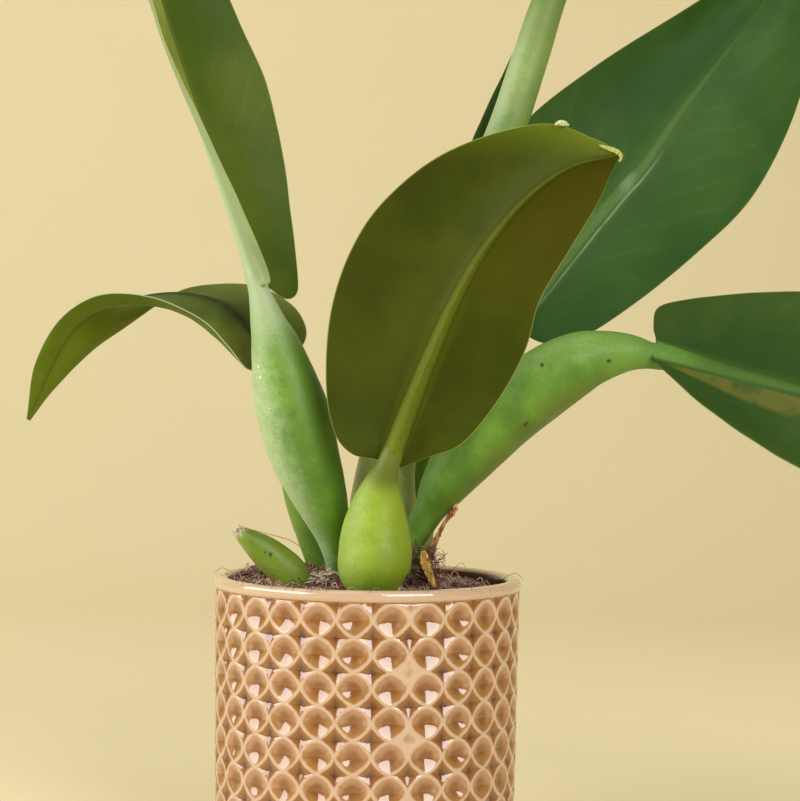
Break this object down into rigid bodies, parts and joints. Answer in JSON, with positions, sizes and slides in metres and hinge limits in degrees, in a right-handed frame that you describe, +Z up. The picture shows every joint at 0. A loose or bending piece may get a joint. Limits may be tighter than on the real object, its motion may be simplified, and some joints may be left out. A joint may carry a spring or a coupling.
{
  "type": "potted philodendron",
  "caption": "Potted philodendron with swollen leaf stalks and large glossy leaves, standing in soil in a round glazed ceramic pot with a relief of touching rings.",
  "frame": {"origin": "centre of the pot's flat underside", "axes": "+Z up along the pot's axis; -Y towards the side that the picture shows; +X to the right of that side"},
  "size_m": [0.4711, 0.1785, 0.5787],
  "materials": {
    "glazed_clay": "gloss",
    "soil_mix": "matte",
    "stalk_green": "satin",
    "blade_green": "satin",
    "dry_husk": "matte",
    "fibre_tuft": "matte"
  },
  "bodies": {
    "root": {"pot": "glazed_clay", "soil": "soil_mix", "petiole_front": "stalk_green", "petiole_left": "stalk_green", "petiole_right": "stalk_green", "petiole_back_right": "stalk_green", "petiole_back": "stalk_green", "petiole_back_left": "stalk_green", "petiole_rear": "stalk_green", "cut_stub": "stalk_green", "leaf_front": "blade_green", "leaf_left": "blade_green", "leaf_right": "blade_green", "leaf_back_right": "blade_green", "leaf_back": "blade_green", "leaf_back_left": "blade_green", "leaf_rear": "blade_green", "dry_sheath": "dry_husk", "dry_scale": "dry_husk", "moss_tuft": "fibre_tuft"}
  },
  "joints": []
}
